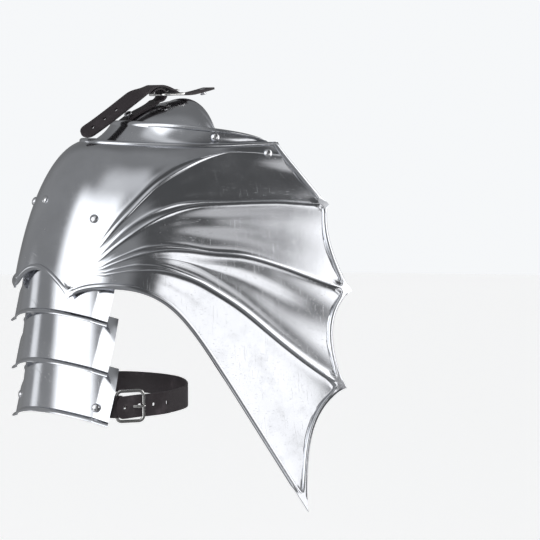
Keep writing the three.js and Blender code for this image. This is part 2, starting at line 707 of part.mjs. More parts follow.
// The straps.
const ARM_RIVETS = [
  { place: 'rear', degrees: 52, leather: 'arm_chape' },
  { place: 'front', degrees: -30, leather: 'arm_strap' },
];
const ARM_RIVET_SHARE = 0.7;
ARM_RIVETS.forEach(({ place, degrees, leather }) => {
  const turn = (degrees - LAME_TURN) / mix(LAME_ENDS[0], LAME_ENDS[1], ARM_RIVET_SHARE);
  const point = armLamePoint(3, turn, ARM_RIVET_SHARE).setZ(ARM_STRAP_HEIGHT);
  rivet(`arm_strap_rivet_${place}`, point, onCircle(1, degrees, 0), ['lower_lame_3', leather]);
});
const CHAPE_RIVET = { at: new THREE.Vector3(24.4, 0, 41.2), outward: new THREE.Vector3(-0.5, 0, 0.866) };
const STRAP_END_RIVET = { at: new THREE.Vector3(114, 0, 65.2), outward: new THREE.Vector3(-0.23, 0, 0.97) };
rivet('chape_rivet', CHAPE_RIVET.at, CHAPE_RIVET.outward, ['suspension_chape', 'upper_lame_1']);
rivet('strap_end_rivet', STRAP_END_RIVET.at, STRAP_END_RIVET.outward, ['suspension_strap']);

for (const item of rivets) {
  const stack = stackOf(item);
  const hole = placed(pin(RIVET_SHANK + RIVET_CLEARANCE, stack.bottom - 1, stack.top + 1), item);
  const shape = rivetGeometry(item, stack);
  item.pierced.forEach((name) => cut(name, hole));
  addPiece(item.name, shape, STEEL);
}

for (const [name, { geometry, finish }] of pieces) {
  const mesh = new THREE.Mesh(geometry, new THREE.MeshStandardMaterial(finish));
  mesh.name = name;
  part.add(mesh);
}

export default part;
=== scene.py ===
# The left pauldron of a Gothic armour, finished in polished steel, nickel and dark leather.
# Shapes are worked out in millimetres and turned into metres as each piece is made.

import math

import bmesh
import bpy
import numpy as np
from mathutils import Matrix, Vector


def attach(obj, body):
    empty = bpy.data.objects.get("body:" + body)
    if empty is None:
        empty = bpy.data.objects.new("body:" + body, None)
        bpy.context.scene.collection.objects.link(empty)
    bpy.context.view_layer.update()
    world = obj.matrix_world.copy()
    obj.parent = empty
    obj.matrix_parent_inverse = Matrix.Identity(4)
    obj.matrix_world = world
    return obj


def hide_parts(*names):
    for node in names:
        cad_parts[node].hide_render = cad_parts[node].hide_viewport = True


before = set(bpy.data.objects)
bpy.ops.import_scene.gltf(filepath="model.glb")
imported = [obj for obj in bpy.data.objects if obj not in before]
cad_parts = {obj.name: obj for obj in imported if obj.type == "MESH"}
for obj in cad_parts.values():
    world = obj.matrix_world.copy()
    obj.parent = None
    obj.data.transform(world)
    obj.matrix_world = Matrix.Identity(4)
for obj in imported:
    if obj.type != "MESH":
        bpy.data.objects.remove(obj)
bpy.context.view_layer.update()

METRE = 1000.0
PLATE = 1.4
LEATHER = 2.2
STRAP_WIDTH = 22.0

BEAD = 6.0                 # width of a rolled edge
BEAD_RISE = 2.5
RIB_RISE = 1.9
RIB_REACH = 12.0           # how far from its centre a rib shapes the plate
RIB_TOP = 4.4              # half the width of a rib's flat top where it springs
RIB_FALL = 2.0             # how quickly its flanks die away
RIB_GROOVE = 0.32          # how much of its height the middle of its flat top gives up
HOLLOW = 1.4               # dip of the wing between two ribs
HOLLOW_SPAN = 45.0         # width at which that dip is full


# ---- Smooth steps and curves ----
def mix(low, high, share):
    return low + (high - low) * share


def ease(share):
    share = np.clip(share, 0.0, 1.0)
    return share * share * (3.0 - 2.0 * share)


def through(knots, at):
    """A smooth value through (place, value) knots, flat past both ends."""
    places, values = (np.array(column, dtype=float) for column in zip(*knots))
    before = np.r_[0, np.arange(len(places) - 1)]
    after = np.r_[np.arange(1, len(places)), len(places) - 1]
    slopes = (values[after] - values[before]) / (places[after] - places[before])
    at = np.clip(at, places[0], places[-1])
    k = np.clip(np.searchsorted(places, at, side="right") - 1, 0, len(places) - 2)
    span = places[k + 1] - places[k]
    t = (at - places[k]) / span
    rise = (1 + 2 * t) * (1 - t) ** 2 * values[k] + t * t * (3 - 2 * t) * values[k + 1]
    return rise + span * (t * (1 - t) ** 2 * slopes[k] - t * t * (1 - t) * slopes[k + 1])


def spline(points, count):
    """Evenly spaced points on a smooth curve through the given ones."""
    points = np.array(points, dtype=float)
    padded = np.vstack([points[:1], points, points[-1:]])
    places = np.linspace(0, len(points) - 1, 40 * len(points))
    k = np.minimum(places.astype(int), len(points) - 2)
    t = (places - k)[:, None]
    p0, p1, p2, p3 = (padded[k + step] for step in range(4))
    curve = p1 + 0.5 * t * (
        p2 - p0 + t * (2 * p0 - 5 * p1 + 4 * p2 - p3 + t * (3 * (p1 - p2) + p3 - p0))
    )
    lengths = np.r_[0, np.cumsum(np.linalg.norm(np.diff(curve, axis=0), axis=1))]
    even = np.linspace(0, lengths[-1], count)
    evened = np.stack([np.interp(even, lengths, column) for column in curve.T], axis=-1)
    return even, evened


def unit(vectors):
    return vectors / np.maximum(np.linalg.norm(vectors, axis=-1, keepdims=True), 1e-9)


# ---- Making pieces ----
def new_piece(name, bm, finish, replaced=(), sharp=35.0):
    """Turns a bmesh in millimetres into a finished, smooth-shaded piece on the root body."""
    bmesh.ops.scale(bm, vec=(1 / METRE,) * 3, verts=bm.verts)
    mesh = bpy.data.meshes.new(name)
    bm.to_mesh(mesh)
    bm.free()
    mesh.shade_smooth()
    mesh.set_sharp_from_angle(angle=math.radians(sharp))
    piece = bpy.data.objects.new(name, mesh)
    bpy.context.scene.collection.objects.link(piece)
    mesh.materials.append(finish)
    if replaced:
        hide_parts(*replaced)
    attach(piece, "root")
    return piece


def soften(piece, width, segments=2, limit=40.0):
    """Rounds the piece's hard edges."""
    bevel = piece.modifiers.new("rounded edges", "BEVEL")
    bevel.width = width / METRE
    bevel.segments = segments
    bevel.limit_method = "ANGLE"
    bevel.angle_limit = math.radians(limit)
    return piece


def flat_grid(columns, rows):
    """A flat grid, with each vertex's column and row."""
    bm = bmesh.new()
    bm.loops.layers.uv.new("flat")
    bmesh.ops.create_grid(bm, x_segments=columns, y_segments=rows, size=0.5, calc_uvs=True)
    bm.verts.ensure_lookup_table()
    flat = np.array([vertex.co for vertex in bm.verts])
    column = np.rint((flat[:, 0] + 0.5) * columns).astype(int)
    row = np.rint((flat[:, 1] + 0.5) * rows).astype(int)
    return bm, column, row


def move(bm, points):
    for vertex, point in zip(bm.verts, points):
        vertex.co = point


def plate(name, points, outward, replaced):
    """A steel wall with its outer face on a table of points, rows down and columns across."""
    rows, columns = points.shape[0] - 1, points.shape[1] - 1
    bm, column, row = flat_grid(columns, rows)
    place = bm.verts.layers.int.new("place in the table")
    for index, vertex in enumerate(bm.verts):
        vertex[place] = index
    move(bm, points[row, column])
    inside = (points - PLATE * outward)[row, column]
    pulled = bmesh.ops.extrude_face_region(bm, geom=bm.faces[:])
    for part in pulled["geom"]:
        if isinstance(part, bmesh.types.BMVert):
            part.co = inside[part[place]]
    bmesh.ops.recalc_face_normals(bm, faces=bm.faces)
    return new_piece(name, bm, STEEL, replaced)


# ---- Materials ----
class Number:
    """A number inside a material, so that shader maths reads as plain expressions."""

    def __init__(self, finish, socket):
        self.finish = finish
        self.socket = socket

    def maths(self, operation, *values):
        return self.finish.node("ShaderNodeMath", {"operation": operation}, dict(enumerate(values)))

    def __add__(self, other):
        return self.maths("ADD", self, other)

    __radd__ = __add__

    def __sub__(self, other):
        return self.maths("SUBTRACT", self, other)

    def __rsub__(self, other):
        return self.maths("SUBTRACT", other, self)

    def __mul__(self, other):
        return self.maths("MULTIPLY", self, other)

    __rmul__ = __mul__

    def __truediv__(self, other):
        return self.maths("DIVIDE", self, other)

    def over(self, low, high):
        """0 below low, 1 above high, smooth between."""
        settings = {"interpolation_type": "SMOOTHSTEP"}
        return self.finish.node("ShaderNodeMapRange", settings, {0: self, 1: low, 2: high})


class Nodes:
    """The nodes of a material or of the studio round it."""

    def __init__(self, owner):
        owner.use_nodes = True
        self.tree = owner.node_tree

    def node(self, kind, settings=None, sockets=None, output=0):
        made = self.tree.nodes.new(kind)
        for setting, value in (settings or {}).items():
            setattr(made, setting, value)
        for socket, value in (sockets or {}).items():
            self.feed(made.inputs[socket], value)
        return Number(self, made.outputs[output])

    def feed(self, socket, value):
        if isinstance(value, Number):
            self.tree.links.new(value.socket, socket)
        else:
            socket.default_value = value


class Finish(Nodes):
    """A material with one Principled shader, and the nodes that feed it."""

    def __init__(self, name, **constants):
        self.material = bpy.data.materials.new(name)
        super().__init__(self.material)
        self.shader = self.tree.nodes["Principled BSDF"]
        for socket, value in constants.items():
            self.shader.inputs[socket.replace("_", " ")].default_value = value

    def to_shader(self, **values):
        for socket, value in values.items():
            self.feed(self.shader.inputs[socket.replace("_", " ")], value)

    def place(self, scale=(1.0, 1.0, 1.0), turn=(0.0, 0.0, 0.0)):
        """The piece's own coordinates, stretched and turned."""
        own = self.node("ShaderNodeTexCoord", output=3)
        return self.node("ShaderNodeMapping", sockets={"Vector": own, "Scale": scale, "Rotation": turn})

    def noise(self, place, scale, detail=3.0, roughness=0.5):
        sockets = {"Vector": place, "Scale": scale, "Detail": detail, "Roughness": roughness}
        return self.node("ShaderNodeTexNoise", sockets=sockets)

    def blend(self, share, first, second):
        """A colour between two others."""
        settings = {"data_type": "RGBA"}
        return self.node("ShaderNodeMix", settings, {0: share, 6: first, 7: second}, output=2)

    def bump(self, height, strength, distance):
        sockets = {"Height": height, "Strength": strength, "Distance": distance}
        return self.node("ShaderNodeBump", sockets=sockets)


def scratches(finish, turn, length, fineness):
    """Thin hairlines along one direction."""
    place = finish.place(scale=(length, fineness, fineness), turn=turn)
    streaks = finish.noise(place, 1.0, detail=2.0, roughness=0.6)
    return streaks.over(0.66, 0.74)


def polished_steel(name, shade, roughness):
    steel = Finish(name, Metallic=1.0, IOR=2.5)
    place = steel.place()
    cloud = steel.noise(place, 14.0, detail=4.0, roughness=0.6).over(0.35, 0.7)
    smudge = steel.noise(place, 42.0, detail=5.0, roughness=0.65).over(0.45, 0.72)
    speck = steel.noise(place, 620.0, detail=2.0, roughness=0.5).over(0.70, 0.76)
    patch = steel.noise(place, 19.0, detail=2.0).over(0.5, 0.62)
    pits = speck * patch
    hair = scratches(steel, (0.3, 0.2, 0.5), 26.0, 1500.0) + scratches(steel, (1.1, 0.7, 0.1), 1300.0, 30.0)
    light = tuple(min(1.0, value * 1.12) for value in shade) + (1.0,)
    plain = shade + (1.0,)
    dull = (0.62, 0.62, 0.63, 1.0)
    colour = steel.blend(cloud, plain, light)
    colour = steel.blend(pits * 0.8, colour, dull)
    rough = roughness + 0.05 * cloud + 0.07 * smudge + 0.22 * pits + 0.05 * hair
    relief = 0.55 * hair + pits + 0.25 * steel.noise(place, 75.0, detail=3.0)
    normal = steel.bump(relief, 0.10, 0.00035)
    steel.to_shader(Base_Color=colour, Roughness=rough, Normal=normal)
    return steel.material


def bright_nickel():
    nickel = Finish("bright nickel", Metallic=1.0)
    place = nickel.place()
    worn = nickel.noise(place, 260.0, detail=4.0).over(0.42, 0.7)
    colour = nickel.blend(worn, (0.86, 0.85, 0.83, 1.0), (0.66, 0.65, 0.64, 1.0))
    normal = nickel.bump(worn, 0.12, 0.0003)
    nickel.to_shader(Base_Color=colour, Roughness=0.13 + 0.16 * worn, Normal=normal)
    return nickel.material


def dark_leather(name, shade):
    leather = Finish(name)
    place = leather.place()
    grain = leather.noise(place, 1150.0, detail=4.0, roughness=0.6)
    crease = leather.noise(place, 190.0, detail=5.0, roughness=0.62)
    wear = leather.noise(place, 60.0, detail=4.0, roughness=0.6).over(0.5, 0.78)
    pale = tuple(value * 2.1 + 0.01 for value in shade) + (1.0,)
    colour = leather.blend(wear, shade + (1.0,), pale)
    colour = leather.blend(crease.over(0.6, 0.72) * 0.45, colour, (0.006, 0.005, 0.006, 1.0))
    relief = 0.6 * grain + 0.9 * crease
    normal = leather.bump(relief, 0.45, 0.0007)
    leather.to_shader(Base_Color=colour, Roughness=0.42 + 0.16 * wear + 0.1 * grain, Normal=normal)
    return leather.material


STEEL = polished_steel("polished steel", (0.61, 0.62, 0.65), 0.12)
RIVET_STEEL = polished_steel("rivet steel", (0.68, 0.68, 0.70), 0.10)
NICKEL = bright_nickel()
LEATHER_FINISH = dark_leather("dark leather", (0.032, 0.024, 0.028))


# ---- Main plate ----
# Stations from the front edge round the shoulder to the wing's scalloped edge. Each gives the
# top edge, two handles and the bottom edge of a cubic section.
MAIN_STATIONS = np.array([
    [(118, 84, 10), (122, 106, -18), (96, 112, -70), (62, 112, -112)],
    [(84, 82, 12), (74, 112, 6), (44, 116, -70), (30, 110, -132)],
    [(30, 62, 14), (10, 100, 10), (-18, 104, -70), (-22, 106, -134)],
    [(-12, 30, 16), (-43, 58, 9), (-69, 62, -70), (-77, 66, -132)],
    [(-24, 0, 16), (-63, 8, 8), (-89, 10, -70), (-102, 10, -130)],
    [(-14, -30, 14), (-56, -46, 7), (-78, -50, -70), (-86, -56, -130)],
    [(20, -54, 12), (-14, -94, 6), (-34, -96, -70), (-42, -98, -130)],
    [(52, -70, 12), (42, -112, 2), (16, -110, -90), (8, -106, -142)],
    [(82, -80, 13), (96, -116, -18), (78, -112, -140), (52, -112, -196)],
    [(112, -89, 14), (154, -120, -44), (148, -128, -190), (96, -138, -282)],
    [(141, -97, 14), (236, -127, -60), (229, -142, -212), (126, -172, -350)],
], dtype=float)

# Where each rib runs, as (share of the way round, share of the way down), and where its two
# edges meet in one crease.
RIBS = [
    [(0.57, 0.77), (0.61, 0.61), (0.68, 0.36), (0.76, 0.2), (0.86, 0.085), (0.93, 0.06), (1, 0.06)],
    [(0.57, 0.85), (0.65, 0.645), (0.73, 0.5), (0.84, 0.37), (0.94, 0.27), (1, 0.235)],
    [(0.58, 0.89), (0.68, 0.76), (0.8, 0.635), (0.88, 0.535), (0.94, 0.492), (1, 0.485)],
    [(0.59, 0.92), (0.7, 0.84), (0.76, 0.8), (0.82, 0.755), (0.9, 0.713), (1, 0.725)],
]
RIB_MEETS = [0.92, 0.86, 0.82, 0.79]
PANEL_ROWS = [26, 9, 9, 9, 13]  # rows of the mesh above, between and below the ribs
RIB_SPRING = 0.56
RIB_FULL = 0.6
UPPER_RIB_END = (0.86, 0.93)    # where the upper rib sinks, and by how much
UPPER_RIB_DROP = 0.75
SCALLOP_DEPTHS = [0, 10, 17, 25, 27]
FRONT_CUSP = 0.345
REAR_CUSP = 0.515
FACET_SPREAD = 10.0        # the flat diamond at each cusp
FACET_DEPTH = 9.0
FACET_RISE = 0.75 * BEAD_RISE


def curve_weights(places):
    """How much each of the eleven stations counts at each place on the way round."""
    knots = np.concatenate([np.zeros(3), np.linspace(0, 1, 9), np.ones(3)])
    places = np.clip(places, 0, 1 - 1e-9)[..., None]
    weights = ((knots[:-1] <= places) & (places < knots[1:])).astype(float)
    for degree in (1, 2, 3):
        start, end = knots[:-degree - 1], knots[degree + 1:]
        rising = np.maximum(knots[degree:-1] - start, 1e-9)
        falling = np.maximum(end - knots[1:-degree], 1e-9)
        weights = (
            (places - start) / rising * weights[..., :-1]
            + (end - places) / falling * weights[..., 1:]
        )
    return weights


def main_at(around, down):
    around, down = np.broadcast_arrays(around, down)
    left = 1 - down
    section = np.stack([left ** 3, 3 * left ** 2 * down, 3 * left * down ** 2, down ** 3], axis=-1)
    return np.einsum("...i,...j,ijk->...k", curve_weights(around), section, MAIN_STATIONS)


SMALL = 1e-3


def across_scale(around, down):
    before = np.clip(around - SMALL, 0, 1 - SMALL)
    return np.linalg.norm(main_at(before + SMALL, down) - main_at(before, down), axis=-1) / SMALL


def down_scale(around, down):
    before = np.maximum(down - SMALL, 0)
    return np.linalg.norm(main_at(around, before + SMALL) - main_at(around, before), axis=-1) / SMALL


def main_outward(around, down):
    before = np.clip(around - SMALL, 0, 1 - SMALL)
    above = np.maximum(down - SMALL, 0)
    across = main_at(before + SMALL, down) - main_at(before, down)
    along = main_at(around, above + SMALL) - main_at(around, above)
    return unit(np.cross(along, across))


def bottom_edge(around):
    """How far down the bottom edge lies: two arches that meet in the cusps."""
    front = 1 - 0.05 * np.sin(np.pi * around / FRONT_CUSP)
    share = np.clip((around - FRONT_CUSP) / (REAR_CUSP - FRONT_CUSP), 0, 1)
    arm = mix(1, 1.03, share) - 0.125 * np.sin(np.pi * share) ** 0.8
    past = np.maximum(around - REAR_CUSP, 0)
    rear = 1.03 - 0.065 * (1 - np.exp(-past / 0.03)) + 0.035 * ease((past - 0.12) / 0.25)
    return np.where(around < FRONT_CUSP, front, np.where(around < REAR_CUSP, arm, rear))


def rolled(distance):
    """The height of a rolled edge at a distance from the rim, with the crease behind it."""
    share = np.clip(np.abs(distance / (BEAD / 2) - 1), 0, 1)
    return BEAD_RISE * np.sqrt(1 - share ** 2)


# Distances in from an edge where rows or columns are laid, so that the roll is crisp.
EDGE_STEPS = np.array([0, 0.35, 1.0, 2.0, 3.0, 4.0, 5.0, 5.65, 6.0, 6.7, 8.0])


def rib_half_top(around, rib):
    """Half the distance between a rib's two edges."""
    return RIB_TOP * (1 - ease((around - RIB_FULL) / (RIB_MEETS[rib] - RIB_FULL))) + 0.25


def main_rows(around):
    """Rows down one column of the plate, and the relief on each of them."""
    bottom = bottom_edge(around)
    scale_top = down_scale(around, 0.0 * around)
    scale_bottom = down_scale(around, bottom)
    centres = [through(rib, around) * bottom for rib in RIBS]
    top_inner = EDGE_STEPS[-1] / scale_top
    bottom_inner = bottom - EDGE_STEPS[-1] / scale_bottom
    bounds = [top_inner, *centres, bottom_inner]
    strength = ease((around - RIB_SPRING) / (RIB_FULL - RIB_SPRING))
    spread = ease((around - RIB_FULL) / 0.2)

    downs = [step / scale_top for step in EDGE_STEPS]
    rises = [rolled(step) + 0 * around for step in EDGE_STEPS]
    flank = top_inner
    for rib, centre in enumerate(centres):
        scale = down_scale(around, centre)
        free = np.minimum(centre - bounds[rib], bounds[rib + 2] - centre)
        reach = np.minimum(RIB_REACH / scale, 0.47 * free)
        squeeze = reach * scale / RIB_REACH
        half_top = rib_half_top(around, rib) * squeeze / (reach * scale)
        rise = RIB_RISE * strength * np.sqrt(squeeze)
        if rib == 0:
            start, end = UPPER_RIB_END
            rise = rise * (1 - UPPER_RIB_DROP * ease((around - start) / (end - start)))
        span = (centre - reach - flank) * scale
        dip = HOLLOW * spread * (rib > 0) * np.clip(span / HOLLOW_SPAN, 0, 1)
        add_panel(downs, rises, flank, centre - reach, PANEL_ROWS[rib], dip)
        outer = [half_top + (1 - half_top) * (k / 7) ** 1.7 for k in range(8)]
        inner = [half_top * share for share in (0.5, 0.0)]
        fractions = [-q for q in reversed(outer)] + [-inner[0], 0 * around, inner[0]] + outer
        for q in fractions:
            beyond = np.maximum(np.abs(q) - half_top, 0) * RIB_REACH
            fade = np.exp(-beyond / RIB_FALL) - np.exp(-RIB_REACH / RIB_FALL)
            sunk = RIB_GROOVE * np.clip(1 - (q / half_top) ** 2, 0, 1) * ease(half_top * 6)
            downs.append(centre + q * reach)
            rises.append(rise * np.maximum(fade, 0) * (1 - sunk))
        flank = centre + reach
    span = (bottom_inner - flank) * scale_bottom
    dip = 0.6 * HOLLOW * spread * np.clip(span / HOLLOW_SPAN, 0, 1)
    add_panel(downs, rises, flank, bottom_inner, PANEL_ROWS[-1], dip)
    for step in EDGE_STEPS[::-1]:
        downs.append(bottom - step / scale_bottom)
        rises.append(rolled(step) + 0 * around)
    return np.stack(downs), np.stack(rises)


def add_panel(downs, rises, start, end, count, dip):
    """Plain rows between two ribs, with the wing hollowed between them."""
    for k in range(1, count):
        share = k / count
        downs.append(mix(start, end, share))
        rises.append(-dip * math.sin(math.pi * share) ** 2)


def rim_inset():
    """How far the wing's edge draws in between neighbouring ribs, row by row."""
    downs, _ = main_rows(np.array([1.0]))
    downs = downs[:, 0]
    corners = [0.0] + [float(through(rib, 1.0)) for rib in RIBS[1:]] + [1.0]
    inset = np.zeros_like(downs)
    for panel in range(1, len(corners)):
        start, end = corners[panel - 1], corners[panel]
        inside = (downs >= start - 1e-9) & (downs <= end + 1e-9)
        share = np.clip((downs - start) / (end - start), 0, 1)
        depth = SCALLOP_DEPTHS[panel] * np.sin(np.pi * share) ** 0.75
        inset = np.where(inside, np.maximum(inset, depth / across_scale(1.0, downs)), inset)
    return downs, inset, corners


def rim_lean(downs, inset):
    """How squarely the rows meet the wing's edge, from 0 to 1."""
    edge = main_at(1 - inset, downs)
    beside = unit(main_at(1 - inset - SMALL, downs) - edge)
    squarely = np.linalg.norm(np.cross(unit(np.gradient(edge, axis=0)), beside), axis=-1)
    return np.clip(squarely, 0.4, 1)


def facet(along, inward):
    """1 on the flat diamond that a cusp is hammered into, 0 off it."""
    return ease((1 - np.abs(along) / FACET_SPREAD - np.abs(inward - 3) / FACET_DEPTH) / 0.16)


def main_plate():
    rim_downs, inset, corners = rim_inset()
    row_count = len(rim_downs)
    plain = np.concatenate([np.linspace(0, RIB_SPRING, 96), np.linspace(RIB_SPRING, 0.92, 84)[1:]])
    cusps = [FRONT_CUSP, REAR_CUSP]
    plain = np.unique(np.concatenate([plain, cusps]))
    front_steps = EDGE_STEPS[:-1] / across_scale(0.0, 0.5)
    plain = np.concatenate([front_steps, plain[plain > front_steps[-1] + 0.004]])
    rim_scale = across_scale(1.0, rim_downs) * rim_lean(rim_downs, inset)
    last = plain[-1]
    outer_columns = []
    inner_end = 1 - inset - EDGE_STEPS[-1] / rim_scale
    for share in np.linspace(0, 1, 22)[1:]:
        outer_columns.append(mix(last, inner_end, share))
    for step in EDGE_STEPS[-2::-1]:
        outer_columns.append(1 - inset - step / rim_scale)
    around = np.concatenate([
        np.repeat(plain[None, :], row_count, axis=0),
        np.stack(outer_columns, axis=1),
    ], axis=1)
    table_downs = np.empty_like(around)
    table_rises = np.empty_like(around)
    for column in range(around.shape[1]):
        downs, rises = main_rows(around[:, column])
        table_downs[:, column] = np.diagonal(downs)
        table_rises[:, column] = np.diagonal(rises)

    # The wing's own edge and the front edge are rolled too, and each cusp is a flat diamond.
    from_rim = (1 - inset[:, None] - around) * rim_scale[:, None]
    rise = np.where(from_rim < BEAD, np.maximum(table_rises, rolled(from_rim)), table_rises)
    from_front = around * across_scale(0.0, 0.5)
    rise = np.where(from_front < BEAD, np.maximum(rise, rolled(from_front)), rise)
    rim_down_scale = down_scale(1.0, 0.5)
    for corner in corners[1:]:
        along = (rim_downs - corner)[:, None] * rim_down_scale
        mask = facet(along, from_rim)
        rise = mix(rise, FACET_RISE, mask)
    bottom_scale = down_scale(around, table_downs)
    from_bottom = (bottom_edge(around) - table_downs) * bottom_scale
    for cusp in cusps:
        along = (around - cusp) * across_scale(cusp, 1.0)
        mask = facet(along * 1.5, from_bottom)
        rise = mix(rise, FACET_RISE, mask)
    outward = main_outward(around, table_downs)
    points = main_at(around, table_downs) + rise[..., None] * outward
    return plate("shoulder_plate", points, outward, ["main_plate"])


# ---- Lames towards the neck ----
UPPER_LAME_2_EDGE = {"crown": (14, 0, 36), "rear": (134, -91, 14), "front": (112, 78, 9), "fullness": 0.7}
UPPER_LAME_1_EDGE = {"crown": (92, 0, 58), "rear": (84, -68, 23), "front": (82, 62, 20), "fullness": 1.6}
LAME_STANDOFF = PLATE + 2.3
CROWN_AROUND = 0.395


def edge_point(edge, turn):
    end = np.where(turn[..., None] > 0, np.array(edge["rear"]), np.array(edge["front"])).astype(float)
    crown = np.array(edge["crown"], dtype=float)
    angle = np.pi / 2 * np.abs(turn)
    lift = np.cos(angle)
    return np.stack([
        mix(end[..., 0], crown[0], lift),
        mix(crown[1], end[..., 1], np.sin(angle)),
        mix(end[..., 2], crown[2], np.maximum(lift, 0) ** edge["fullness"]),
    ], axis=-1)


def main_inside(turn, down):
    around = mix(CROWN_AROUND, np.where(turn > 0, 0.955, 0.035), np.abs(turn))
    down = down + 0 * around
    return main_at(around, down) - LAME_STANDOFF * main_outward(around, down)


def tucked_point(lame, turn, across):
    """A lame that springs from under its neighbour and ends in its free edge."""
    start = lame["under"](turn)
    free = edge_point(lame["edge"], turn)
    heading = unit(lame["lip"](turn) - start)
    reach = np.linalg.norm(free - start, axis=-1, keepdims=True)
    handle = start + 0.5 * reach * heading
    across = across[..., None]
    return (1 - across) ** 2 * start + 2 * across * (1 - across) * handle + across ** 2 * free


def lame_outward(lame, turn, across):
    along = tucked_point(lame, turn + SMALL, across) - tucked_point(lame, turn - SMALL, across)
    inward = tucked_point(lame, turn, across + SMALL) - tucked_point(lame, turn, across - SMALL)
    return unit(np.cross(along, inward))


def lame_inside(lame, turn, across):
    across = across + 0 * turn
    return tucked_point(lame, turn, across) - LAME_STANDOFF * lame_outward(lame, turn, across)


LAME_2 = {
    "under": lambda turn: main_inside(turn, 0.075),
    "lip": lambda turn: main_inside(turn, 0.0),
    "edge": UPPER_LAME_2_EDGE,
}
LAME_1 = {
    "under": lambda turn: lame_inside(LAME_2, 0.92 * turn, 0.7),
    "lip": lambda turn: lame_inside(LAME_2, 0.92 * turn, 1.0),
    "edge": UPPER_LAME_1_EDGE,
}
NECK_BORDER = 0.1          # share of a neck lame that its turned border takes
NECK_PLAY = 1.0            # how far a neck lame keeps clear of the plate above it
BORDER_RUN_OUT = 0.15      # share of its length over which that border runs out


def neck_lame(name, lame, border_rise, replaced):
    turns = np.linspace(-1, 1, 161)
    across = 1 - np.linspace(0, 1, 41) ** 1.5
    turn, across = np.meshgrid(turns, across)
    edge = (1 - across) / NECK_BORDER
    rise = border_rise * np.sqrt(np.clip(1 - (2 * edge - 1) ** 2, 0, 1)) * (edge < 1)
    rise = rise * ease((1 - np.abs(turn)) / BORDER_RUN_OUT)
    outward = lame_outward(lame, turn, across)
    points = tucked_point(lame, turn, across) + (rise[..., None] - NECK_PLAY) * outward
    return plate(name, points, outward, [replaced])


# ---- Lames down the arm ----
ARM_RADIUS_TOP = 83.5
ARM_RADIUS_BOTTOM = 92.0
LIP_FLARE = 2.5
FLANGE_FLARE = 6.0
LAME_STEP = 49.0
LAME_BOTTOM = -151.0
LAME_ARCH = 25.0
LAME_CROWN = 18.0
LAME_TURN = 10.0
LAME_HEIGHT = 58.0
LAME_ENDS = (57.0, 49.0)
FLANGE = 9.0
LIP_START = 0.93
LAME_BEAD_RISE = 1.7
LAME_BEAD_HALF = 2.2


def on_circle(radius, degrees, height):
    angle = np.radians(degrees)
    return np.stack(np.broadcast_arrays(-radius * np.cos(angle), -radius * np.sin(angle), height), axis=-1)


def arm_lame(number):
    """Turned from the front end to the rear end, and from its top edge to its rolled bottom edge."""
    lines = 1 - np.array([0, 0.5, 1.2, 2.2, 3.2, 4.0, 4.6, 5.4, 7.0]) / LAME_HEIGHT
    shares = np.concatenate([np.linspace(0, lines[-1], 26)[:-1], lines[::-1]])
    turn, share = np.meshgrid(np.linspace(-1, 1, 141), shares)
    end = mix(LAME_ENDS[0], LAME_ENDS[1], share)
    degrees = LAME_TURN + turn * end
    flange = np.maximum(np.abs(turn) * end - (end - FLANGE), 0) / FLANGE
    lip = np.maximum(share - LIP_START, 0) / (1 - LIP_START)
    from_bottom = (1 - share) * LAME_HEIGHT
    bead_share = from_bottom / LAME_BEAD_HALF - 1
    bead = LAME_BEAD_RISE * np.sqrt(np.clip(1 - bead_share ** 2, 0, 1))
    radius = mix(ARM_RADIUS_TOP, ARM_RADIUS_BOTTOM, share) + LIP_FLARE * lip
    radius = radius + FLANGE_FLARE * flange * ease(share / 0.5) + bead
    fall = LAME_ARCH * np.sin(np.radians(degrees - LAME_CROWN)) ** 2
    bottom = LAME_BOTTOM - (number - 1) * LAME_STEP - fall
    points = on_circle(radius, degrees, bottom + from_bottom)
    return plate(f"arm_lame_{number}", points, on_circle(1.0, degrees, 0.0), [f"lower_lame_{number}"])


# ---- Rivets ----
RIVET_SUNK = 0.45          # how far a head is let into the plate's relief
DOME_SHARE = 0.62          # a dome's height over its radius
SHANK_RADIUS = 2.0
TAIL_RADIUS = 3.2
TAIL_THICKNESS = 1.3


def rivet_seat(node):
    """A rivet's own axis, and where its head and its tail lie along it, in millimetres."""
    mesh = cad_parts[node].data
    points = np.array([vertex.co for vertex in mesh.vertices]) * METRE
    points = np.unique(np.round(points, 3), axis=0)
    centre = points.mean(axis=0)
    away = points - centre
    spread, axes = np.linalg.eigh(away.T @ away)
    odd = 0 if spread[1] - spread[0] > spread[2] - spread[1] else 2
    axis = axes[:, odd]
    along = away @ axis
    radius = np.linalg.norm(away - np.outer(along, axis), axis=1)
    widest = radius > 0.97 * radius.max()
    if along[widest].mean() < 0:
        axis, along = -axis, -along
    return centre, axis, radius.max(), along[widest].mean(), along.min()


